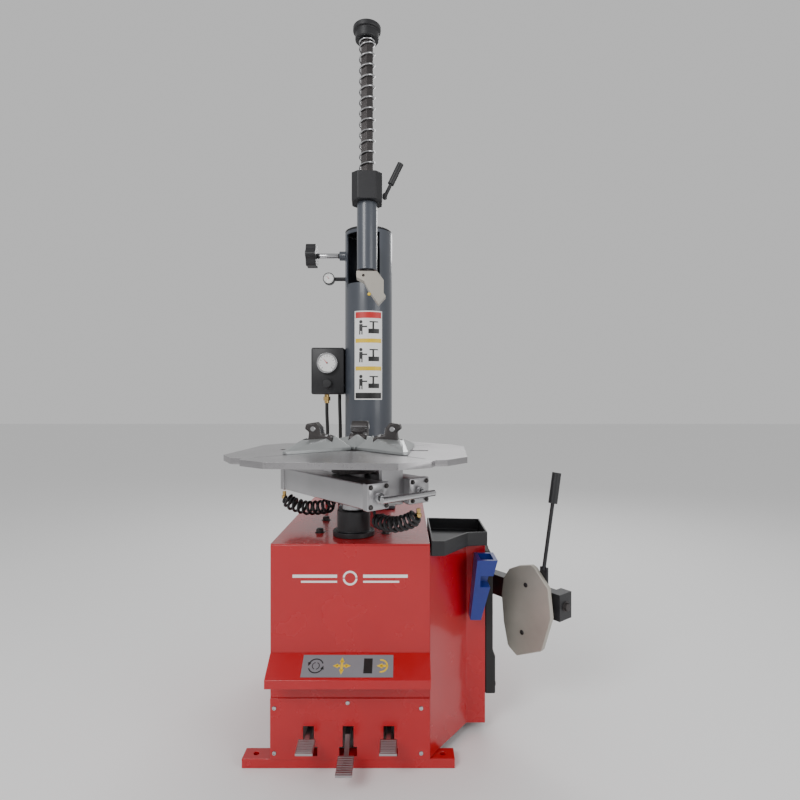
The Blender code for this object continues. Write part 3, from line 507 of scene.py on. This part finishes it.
class CHANGER_OT_fasteners(Operator):
    """Puts bolts, screws, jaw teeth and cylinder ends on the machine"""

    bl_idname = "changer.fasteners"
    bl_label = "Bolts and screws"

    def execute(self, context):
        front = direction(0, -1)
        up = direction(0, 0, 1)
        cover = FACE_Y - COVER_THICK
        screws = []
        for x, z in ((-197, 159), (-6, 173), (185, 159), (-197, 42), (185, 42)):
            screws += button(at(x, cover, z), front)
        make_object("pedal_cover_screws", *gathered(screws), "chrome", "cabinet", "chrome")
        bolts = []
        for x, y in ((-98, 20), (89, 11), (-103, 177), (92, 177)):
            bolts += bolt(at(x, y, BODY_TOP), up, 11.0, 12.0)
        make_object("cabinet_top_bolts", *gathered(bolts), "cast_steel", "cabinet", "cast_steel")
        flange = []
        for x in (-82, 82):
            for y in (-82, 82):
                place = at(COLUMN_AXIS[0] + x, COLUMN_AXIS[1] + y, FLANGE_TOP)
                flange += bolt(place, up, 9.5, 8.0)
        make_object("column_bolts", *gathered(flange), "chrome", "cabinet", "chrome")
        side = []
        for z in (130, 500):
            for y in (75, 172):
                side += button(at(405.6 if z < 216 else 398.6, y, z), direction(1, 0), 8.0)
        make_object("pad_screws", *gathered(side), "cast_steel", "cabinet", "cast_steel")
        self.breaker()
        self.turntable()
        return {"FINISHED"}

    def breaker(self):
        """Two screws on the blade and a bolt on the arm's end."""
        face = direction(-1, 0, 0, BREAKER_TURN)
        blade = []
        for along, z in ((-8, 416), (6, 272)):
            place = at(-62.5, -220 + along, z, BREAKER_TURN, BREAKER_PIN)
            blade += button(place, face, 7.0)
        make_object("blade_screws", *gathered(blade), "cast_steel", "breaker_blade", "cast_steel")
        place = at(0, -322.5, BREAKER_Z, BREAKER_TURN, BREAKER_PIN)
        end = bolt(place, direction(0, -1, 0, BREAKER_TURN), 12.0, 10.0)
        make_object("arm_end_bolt", *gathered(end), "cast_steel", "breaker_arm", "cast_steel")

    def turntable(self):
        """Screws and teeth of each jaw, and the cylinders' end caps, tie bolts and rod seals."""
        up = direction(0, 0, 1)
        for name, angle in JAW_ANGLES.items():
            turn = TABLE_TURN + math.radians(angle)
            some = []
            for across in (-19.0, 19.0):
                some += bolt(at(74, across, 859.0, turn), up, 5.0, 5.0)
            for across in (-104.0, 104.0):
                some += button(at(138, across, 832.0, turn), up, 6.0)
            teeth = []
            for step in range(5):
                z = 862.5 + 4.4 * step
                inner = 88.4 + 0.85 * step
                section = np.array([(inner, z), (inner, z + 3.2), (inner - 2.6, z + 1.6)])
                ring = np.concatenate([
                    at(section[:, 0], np.full(3, across), section[:, 1], turn)
                    for across in (-23.5, 23.5)
                ])
                teeth.append((ring, grid_faces(2, 3)))
            pin = [(6.0, -27.5), (7.0, -26.8), (7.0, 26.8), (6.0, 27.5)]
            teeth += [turned(pin, 20, at(110, 0, 880, turn), direction(0, 1, 0, turn))]
            make_object("jaw_teeth_" + name, *gathered(teeth), "chrome", "jaw_" + name, "chrome")
            make_object("jaw_screws_" + name, *gathered(some), "chrome", "jaw_" + name, "chrome")
        turn = TABLE_TURN + CYLINDER_TURN
        ties, caps = [], []
        for middle in (-CYLINDER_OFFSET, CYLINDER_OFFSET):
            for end, facing in CYLINDER_ENDS:
                out = direction(0, facing, 0, turn)
                for across in (-24.0, 24.0):
                    for z in (CYLINDER_Z - 24.0, CYLINDER_Z + 24.0):
                        ties += bolt(at(middle + across, end, z, turn), out, 5.0, 5.0)
                low = end - facing * 20.0
                side = CAP_HALF * np.array([-1, 1, 1, -1])
                rise = CAP_HALF * np.array([-1, -1, 1, 1])
                ring = np.concatenate([
                    at(middle + side, np.full(4, y), CYLINDER_Z + rise, turn)
                    for y in (low, end - facing * 0.2)
                ])
                caps.append((ring, grid_faces(2, 4)))
        seal = [(8.5, 1), (8.5, 9), (12, 9), (13, 8), (13, 0)]
        seals = [
            turned(seal, 24, at(middle, 200.3, ROD_Z, turn), direction(0, 1, 0, turn))
            for middle in (-CYLINDER_OFFSET, CYLINDER_OFFSET)
        ]
        make_object("rod_seals", *gathered(seals), "chrome", "turntable", "chrome")
        make_object("cylinder_tie_bolts", *gathered(ties), "cast_steel", "turntable", "cast_steel")
        ends = make_object("cylinder_end_caps", *gathered(caps), "aluminium", "turntable",
                           "aluminium")
        rounding = ends.modifiers.new("edges", "BEVEL")
        rounding.width = 0.0025
        rounding.segments = 3


class CHANGER_OT_signs(Operator):
    """Lays the generic pictogram panel, column label and plain front marks"""

    bl_idname = "changer.signs"
    bl_label = "Panels and labels"

    def execute(self, context):
        self.pedal_panel()
        self.column_label()
        self.front_marks()
        return {"FINISHED"}

    def pedal_panel(self):
        """Four plain signs on the hood's slope: turn, clamp, tyre and blade."""
        slope = math.atan2(40.0, 63.7)

        def place(across, up, out):
            back = up * math.cos(slope) - out * math.sin(slope)
            rise = up * math.sin(slope) + out * math.cos(slope)
            return at(across, -134.0 + back, 282.4 + rise)

        lifted = lambda across, up, out: place(across, up, out + 0.8)
        panel = prisms([bar(-119, -30, 113, 30)], place, 1.0)
        make_object("sign_panel", *panel, "sign_grey", "cabinet")
        rings = [arc_band(-84, 0, 17, 20, start, start + 140) for start in (20, 200)]
        rings += [arc_band(-84, 0, 8, 10, start, start + 150) for start in (100, 280)]
        rings += [arrow(-84 + 18.5 * math.cos(a), 18.5 * math.sin(a), 6, math.degrees(a) + 90)
                  for a in (2.85, 6.0)]
        tyre = [bar(38, -20, 60, 20)]
        make_object("sign_black", *prisms(rings + tyre, lifted), "label_black", "cabinet")
        arrows = [arrow(-18 + 15 * math.cos(a), 15 * math.sin(a), 8, math.degrees(a))
                  for a in np.radians((0, 90, 180, 270))]
        arrows += [bar(-21, -14, -15, 14), bar(-32, -3, -22, 3), bar(-14, -3, -4, 3)]
        arrows += [arc_band(82, 0, 14, 18, -100, 100), arrow(80, 0, 9, 180), bar(80, -3, 98, 3)]
        make_object("sign_yellow", *prisms(arrows, lifted), "label_yellow", "cabinet")

    def column_label(self):
        """A label bent round the column, with plain bars where a text would be."""
        def place(across, up, out):
            angle = (np.asarray(across) + 4.6) / COLUMN_RADIUS
            radius = COLUMN_RADIUS + out
            x = COLUMN_AXIS[0] + radius * np.sin(angle)
            return at(x, COLUMN_AXIS[1] - radius * np.cos(angle), up)

        lifted = lambda across, up, out: place(across, up, out + 0.5)
        sheet = strips(-50, 961, 50, 1268, 12)
        make_object("label_sheet", *prisms(sheet, place), "label_white", "cabinet")
        head = strips(-46, 1243, 46, 1264, 12)
        make_object("label_head", *prisms(head, lifted), "label_red", "cabinet")
        yellow = strips(-46, 1158, 46, 1172, 12) + strips(-46, 1062, 46, 1076, 12)
        make_object("label_yellow_bars", *prisms(yellow, lifted), "label_yellow", "cabinet")
        dark = strips(-46, 965, 46, 985, 12)
        for low in (1184, 1088, 995):
            dark += [disc(-26, low + 46, 6), bar(-32, low + 14, -20, low + 38)]
            dark += [bar(-32, low + 2, -28, low + 14), bar(-24, low + 2, -20, low + 14)]
            dark += [bar(-20, low + 27, -4, low + 32), *strips(0, low + 6, 38, low + 22, 4)]
            dark += [bar(14, low + 22, 20, low + 48), *strips(4, low + 44, 34, low + 48, 3)]
        make_object("label_black_marks", *prisms(dark, lifted), "label_black", "cabinet")

    def front_marks(self):
        """Plain white stripes with a small ring between them."""
        place = lambda across, up, out: at(across, FACE_Y - out, up)
        marks = [bar(-150, 497, -34, 505), bar(34, 497, 150, 505)]
        marks += [bar(-128, 484, -34, 489), bar(34, 484, 128, 489)]
        marks += [arc_band(0, 496, 14, 19, start, start + 170, 24) for start in (5, 185)]
        make_object("front_stripes", *prisms(marks, place), "label_white", "cabinet")


class CHANGER_OT_gauges(Operator):
    """Fits the dials' faces, ticks and needles, and the regulator's knob"""

    bl_idname = "changer.gauges"
    bl_label = "Gauges"

    def execute(self, context):
        box_x = COLUMN_AXIS[0] - COLUMN_RADIUS - 58.3
        self.dial("box_dial", box_x, COLUMN_AXIS[1] - 52.4, BOX_DIAL_Z, 30.0)
        self.dial("line_dial", COLUMN_AXIS[0] - 142, COLUMN_AXIS[1] - 14.2, LINE_DIAL_Z, 17.5)
        knob = [(13, 0), (13, 3), (16, 4), (16, 20), (14, 22), (2, 22.4)]
        origin = at(box_x, COLUMN_AXIS[1] - 36.2, 1018)
        make_object("regulator_knob", *turned(knob, 20, origin, direction(0, -1)), "black_plastic",
                    "cabinet", "black_plastic")
        return {"FINISHED"}

    def dial(self, name, x, y, z, radius):
        """A white face, black ticks on three quarters of the circle, and a needle."""
        place = lambda across, up, out: at(x + np.asarray(across), y - out, z + np.asarray(up))
        lifted = lambda across, up, out: place(across, up, out + 0.5)
        face = prisms([disc(0, 0, radius, 40)], place)
        make_object(name + "_face", *face, "label_white", "cabinet")
        ticks = []
        for step in range(13):
            angle = math.radians(225.0 - 22.5 * step)
            inner = radius * (0.7 if step % 3 == 0 else 0.8)
            side = np.array([-math.sin(angle), math.cos(angle)]) * radius * 0.022
            ray = np.array([math.cos(angle), math.sin(angle)])
            ticks.append([tuple(ray * inner - side), tuple(ray * radius * 0.93 - side),
                          tuple(ray * radius * 0.93 + side), tuple(ray * inner + side)])
        ticks.append(disc(0, 0, radius * 0.1))
        make_object(name + "_ticks", *prisms(ticks, lifted), "label_black", "cabinet")
        needle = [
            (radius * 0.05, 0), (-radius * 0.5, radius * 0.55), (-radius * 0.05, -radius * 0.05),
        ]
        higher = lambda across, up, out: place(across, up, out + 1.1)
        make_object(name + "_needle", *prisms([needle], higher), "label_red", "cabinet")


class CHANGER_OT_trim(Operator):
    """Adds the pedal ribs, the stop knob's stem sleeve and the mounting head's insert"""

    bl_idname = "changer.trim"
    bl_label = "Small trim"

    def execute(self, context):
        for name, x, length, start, drop in (
            ("pedal_left", -108.0, 45.0, 25.0, 92.0), ("pedal_middle", -5.0, 60.0, 50.0, 66.0),
            ("pedal_right", 101.0, 45.0, 25.0, 92.0),
        ):
            ribs = []
            for step in np.linspace(5.0, length - 5.0, 8):
                y = FACE_Y - start - step
                z = drop - 8.0 * step / length
                low, high = z - 0.5, z + 1.3
                ring = np.concatenate([
                    at(np.full(4, x + across), y + np.array([-1.2, 1.2, 0.7, -0.7]),
                       np.array([low, low, high, high])) for across in (-19.0, 19.0)
                ])
                ribs.append((ring, grid_faces(2, 4)))
            make_object(name + "_ribs", *gathered(ribs), "aluminium", name, "aluminium")
        sleeve = [(9.2, 0), (9.6, 1), (9.6, 74), (9.2, 75)]
        origin = at(COLUMN_AXIS[0] - 184, COLUMN_AXIS[1], KNOB_Z)
        stem = turned(sleeve, 24, origin, direction(1, 0))
        make_object("knob_stem", *stem, "chrome", "stop_knob", "chrome")
        ball = [(0.2, 0), (4.0, 0.2), (4.6, 1.5), (3.2, 3.6), (0.2, 4.4)]
        origin = at(6.0, -ARM_LENGTH - 20.0, 1252.0, ARM_TURN, COLUMN_AXIS)
        make_object("head_insert", *turned(ball, 20, origin, direction(0, -1, 0, ARM_TURN)),
                    "label_yellow", "tool_shaft")
        return {"FINISHED"}


class CHANGER_OT_stage(Operator):
    """Sets the pale floor, the soft lights and the camera"""

    bl_idname = "changer.stage"
    bl_label = "Stage"

    def execute(self, context):
        corners = bar(-FLOOR_HALF, -FLOOR_HALF, FLOOR_HALF, FLOOR_HALF)
        points = [(*corner, -FLOOR_DROP) for corner in corners]
        mesh = bpy.data.meshes.new("floor")
        mesh.from_pydata(points, [], [(0, 1, 2, 3)])
        floor = bpy.data.objects.new("floor", mesh)
        context.scene.collection.objects.link(floor)
        pale = bpy.data.materials.new("floor_pale")
        pale.use_nodes = True
        shader = pale.node_tree.nodes["Principled BSDF"]
        shader.inputs["Base Color"].default_value = (0.86, 0.86, 0.86, 1)
        shader.inputs["Roughness"].default_value = 0.7
        mesh.materials.append(pale)
        world = bpy.data.worlds.new("studio")
        world.use_nodes = True
        sky = world.node_tree.nodes["Background"]
        sky.inputs["Color"].default_value = (1, 1, 1, 1)
        sky.inputs["Strength"].default_value = 0.62
        context.scene.world = world
        for name, place, size, power in (
            ("key", (-1.6, -2.6, 2.6), 1.3, 60.0), ("fill", (2.4, -2.0, 1.6), 1.6, 26.0),
            ("back", (0.6, 2.6, 2.8), 1.5, 45.0),
        ):
            data = bpy.data.lights.new(name, "AREA")
            data.size = size
            data.energy = power
            light = bpy.data.objects.new(name, data)
            light.location = place
            aim = Vector((0.0, 0.0, 0.9)) - Vector(place)
            light.rotation_euler = aim.to_track_quat("-Z", "Y").to_euler()
            context.scene.collection.objects.link(light)
        lens = bpy.data.cameras.new("camera")
        lens.lens = 24.3
        lens.sensor_width = 36.0
        lens.shift_x = -0.00625
        camera = bpy.data.objects.new("camera", lens)
        camera.location = at(143.0, -1509.0, 960.0)
        camera.rotation_euler = (math.radians(90.0), 0.0, 0.0)
        context.scene.collection.objects.link(camera)
        context.scene.camera = camera
        return {"FINISHED"}


OPERATORS = (
    CHANGER_OT_finishes, CHANGER_OT_spring, CHANGER_OT_hoses, CHANGER_OT_fasteners,
    CHANGER_OT_signs, CHANGER_OT_gauges, CHANGER_OT_trim, CHANGER_OT_stage,
)


class CHANGER_PT_panel(Panel):
    """Lists the operators and the values they use."""

    bl_idname = "CHANGER_PT_panel"
    bl_label = "Tire changer"
    bl_space_type = "VIEW_3D"
    bl_region_type = "UI"
    bl_category = "Tire changer"

    def draw(self, context):
        for values in (context.scene.changer_finishes, context.scene.changer_sizes):
            for name in values.__annotations__:
                self.layout.prop(values, name)
        for operator in OPERATORS:
            self.layout.operator(operator.bl_idname)


CLASSES = (ChangerFinishes, ChangerSizes, *OPERATORS, CHANGER_PT_panel)


def register():
    for made in CLASSES:
        bpy.utils.register_class(made)
    bpy.types.Scene.changer_finishes = PointerProperty(type=ChangerFinishes)
    bpy.types.Scene.changer_sizes = PointerProperty(type=ChangerSizes)


def unregister():
    del bpy.types.Scene.changer_sizes
    del bpy.types.Scene.changer_finishes
    for made in reversed(CLASSES):
        bpy.utils.unregister_class(made)


def main():
    register()
    for operator in OPERATORS:
        group, name = operator.bl_idname.split(".")
        if getattr(getattr(bpy.ops, group), name)() != {"FINISHED"}:
            raise RuntimeError(operator.bl_label + " did not finish")


if __name__ == "__main__":
    main()
